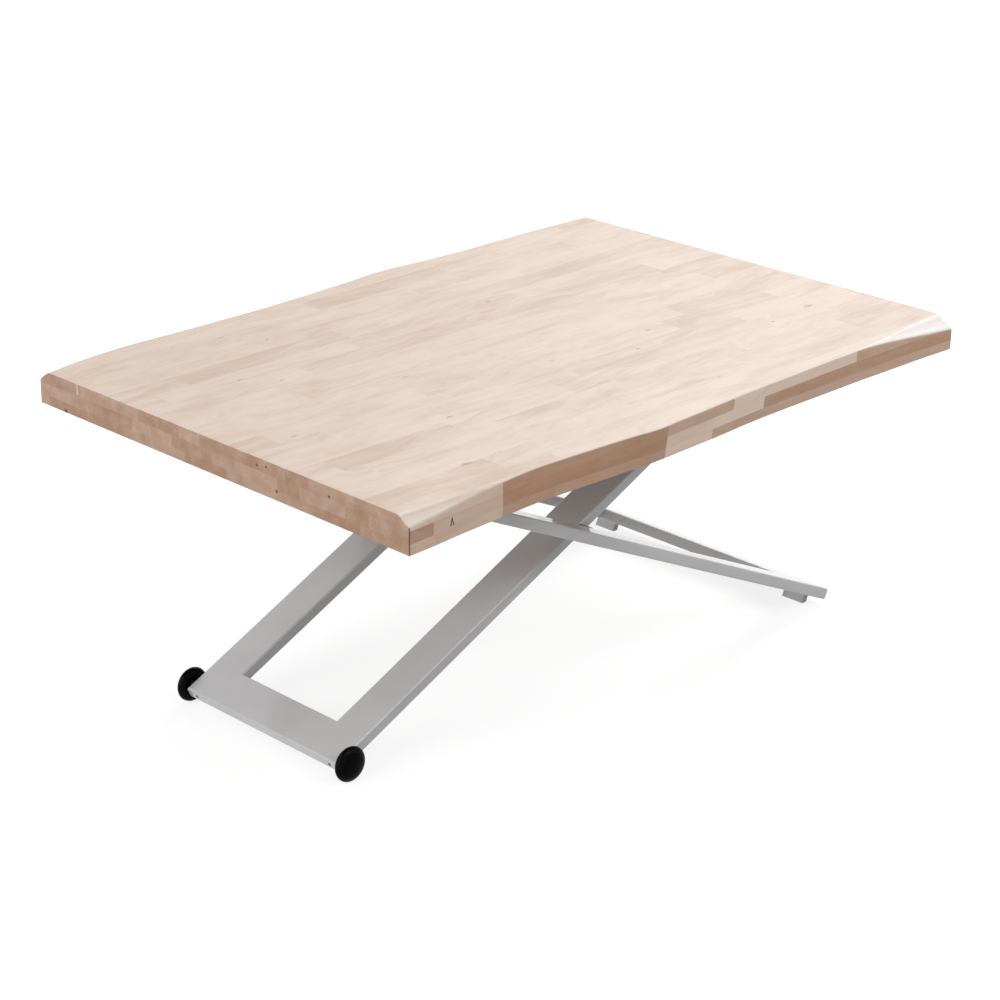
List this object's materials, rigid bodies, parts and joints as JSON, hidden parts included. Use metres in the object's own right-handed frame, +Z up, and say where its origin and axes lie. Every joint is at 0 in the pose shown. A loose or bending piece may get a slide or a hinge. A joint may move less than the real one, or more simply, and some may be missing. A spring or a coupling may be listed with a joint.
{
  "type": "convertible coffee dining table",
  "caption": "Rectangular wooden table with live long edges on a crossed metal scissor frame with wheels and feet; it lifts, level, from coffee height to dining height.",
  "frame": {"origin": "on the floor, under the middle of the table top's box, with the table lowered", "axes": "+X along the table towards the feet, +Y across it to the far side, +Z up"},
  "size_m": [1.2, 0.834, 0.51],
  "materials": {
    "wood": "bleached and matt oiled hardwood",
    "frame": "satin silver paint",
    "steel": "turned",
    "spacer": "turned and polished",
    "screw": "zinc plated",
    "bracket": "dark grey paint",
    "bush": "moulded",
    "tread": "matt black",
    "cap": "satin black",
    "foot": "grey moulding",
    "roller": "moulded",
    "strut": "satin black paint",
    "strut_rod": "polished",
    "strut_inner": "moulded",
    "strut_head": "die cast",
    "lever": "dark grey paint",
    "grip": "matt black"
  },
  "bodies": {
    "axle": {"axle": "steel", "retaining_rings": "steel"},
    "inner_leg": {"inner_beam_near": "frame", "inner_beam_far": "frame", "inner_crossbar": "frame", "strut_brace": "frame", "strut_seat": "frame", "strut_lower_pin": "steel", "inner_lug_near": "frame", "inner_lug_far": "frame", "axle_bush_near": "bush", "axle_bush_far": "bush", "grub_screws": "screw", "pivot_pin_near": "steel", "pivot_pin_far": "steel"},
    "outer_leg": {"outer_beam_near": "frame", "outer_beam_far": "frame", "outer_crossbar": "frame", "outer_brace": "frame", "outer_lug_near": "frame", "outer_lug_far": "frame", "pivot_bush_near": "bush", "pivot_bush_far": "bush", "pivot_spacer_near": "spacer", "pivot_spacer_far": "spacer", "foot_near": "foot", "foot_far": "foot", "roller_axle_near": "steel", "roller_axle_far": "steel"},
    "top": {"table_top": "wood", "top_screws": "screw", "rail_near": "bracket", "rail_far": "bracket", "hinge_bracket_near": "bracket", "hinge_bracket_far": "bracket", "hinge_pin_near": "steel", "hinge_pin_far": "steel", "hinge_clips": "steel", "strut_bracket": "bracket", "strut_stub_pins": "steel", "lever_bracket": "bracket", "lever_pin": "steel"},
    "wheel_near": {"wheel_near": "tread", "wheel_cap_near": "cap"},
    "wheel_far": {"wheel_far": "tread", "wheel_cap_far": "cap"},
    "roller_near": {"roller_near": "roller"},
    "roller_far": {"roller_far": "roller"},
    "strut_barrel": {"strut_barrel": "strut", "strut_eye": "strut", "strut_guide": "strut_inner"},
    "strut_rod": {"strut_rod": "strut_rod", "strut_piston": "strut_inner", "strut_head": "strut_head"},
    "valve_pin": {"valve_pin": "strut_rod"},
    "release_lever": {"release_lever": "lever", "lever_grip": "grip"}
  },
  "joints": [
    {"name": "lift", "type": "hinge", "parent": "axle", "child": "inner_leg", "pos_m": [-0.5015, 0, 0.0275], "axis": [0, -1, 0], "range_deg": [0, 17]},
    {"name": "scissor", "type": "hinge", "parent": "inner_leg", "child": "outer_leg", "pos_m": [-0.016, 0, 0.25286], "axis": [0, 1, 0], "range_deg": [0, 34]},
    {"name": "top_hinge", "type": "hinge", "parent": "inner_leg", "child": "top", "pos_m": [0.38931, 0, 0.441], "axis": [0, 1, 0], "range_deg": [0, 17]},
    {"name": "strut_lower_swing", "type": "hinge", "parent": "inner_leg", "child": "strut_barrel", "pos_m": [0.122, 0, 0.2475], "axis": [0, 1, 0], "range_deg": [0, 8.5]},
    {"name": "strut_upper_swing", "type": "hinge", "parent": "top", "child": "strut_rod", "pos_m": [0.0598, 0, 0.423], "axis": [0, -1, 0], "range_deg": [0, 8.5]},
    {"name": "lever_pull", "type": "hinge", "parent": "top", "child": "release_lever", "pos_m": [0.0548, -0.026, 0.44543], "axis": [-1, 0, 0], "range_deg": [0, 7], "stiffness_Nm_per_rad": 8, "springref_deg": -6.88},
    {"name": "valve_press", "type": "slide", "parent": "strut_rod", "child": "valve_pin", "axis": [0.334, 0, -0.9426], "range_m": [0, 0.0026]},
    {"name": "wheel_spin_near", "type": "hinge", "parent": "axle", "child": "wheel_near", "pos_m": [-0.5015, 0, 0.0275], "axis": [0, 1, 0], "continuous": true},
    {"name": "wheel_spin_far", "type": "hinge", "parent": "axle", "child": "wheel_far", "pos_m": [-0.5015, 0, 0.0275], "axis": [0, 1, 0], "continuous": true},
    {"name": "roller_spin_near", "type": "hinge", "parent": "outer_leg", "child": "roller_near", "pos_m": [-0.42131, 0, 0.441], "axis": [0, 1, 0], "continuous": true},
    {"name": "roller_spin_far", "type": "hinge", "parent": "outer_leg", "child": "roller_far", "pos_m": [-0.42131, 0, 0.441], "axis": [0, 1, 0], "continuous": true}
  ],
  "couplings": [
    {"joint": "scissor", "follows": "lift", "ratio": 2},
    {"joint": "top_hinge", "follows": "lift", "ratio": 1},
    {"joint": "strut_lower_swing", "follows": "lift", "ratio": 0.5},
    {"joint": "strut_upper_swing", "follows": "lift", "ratio": 0.5},
    {"joint": "valve_press", "follows": "lever_pull", "m_per_rad": 0.021281}
  ]
}
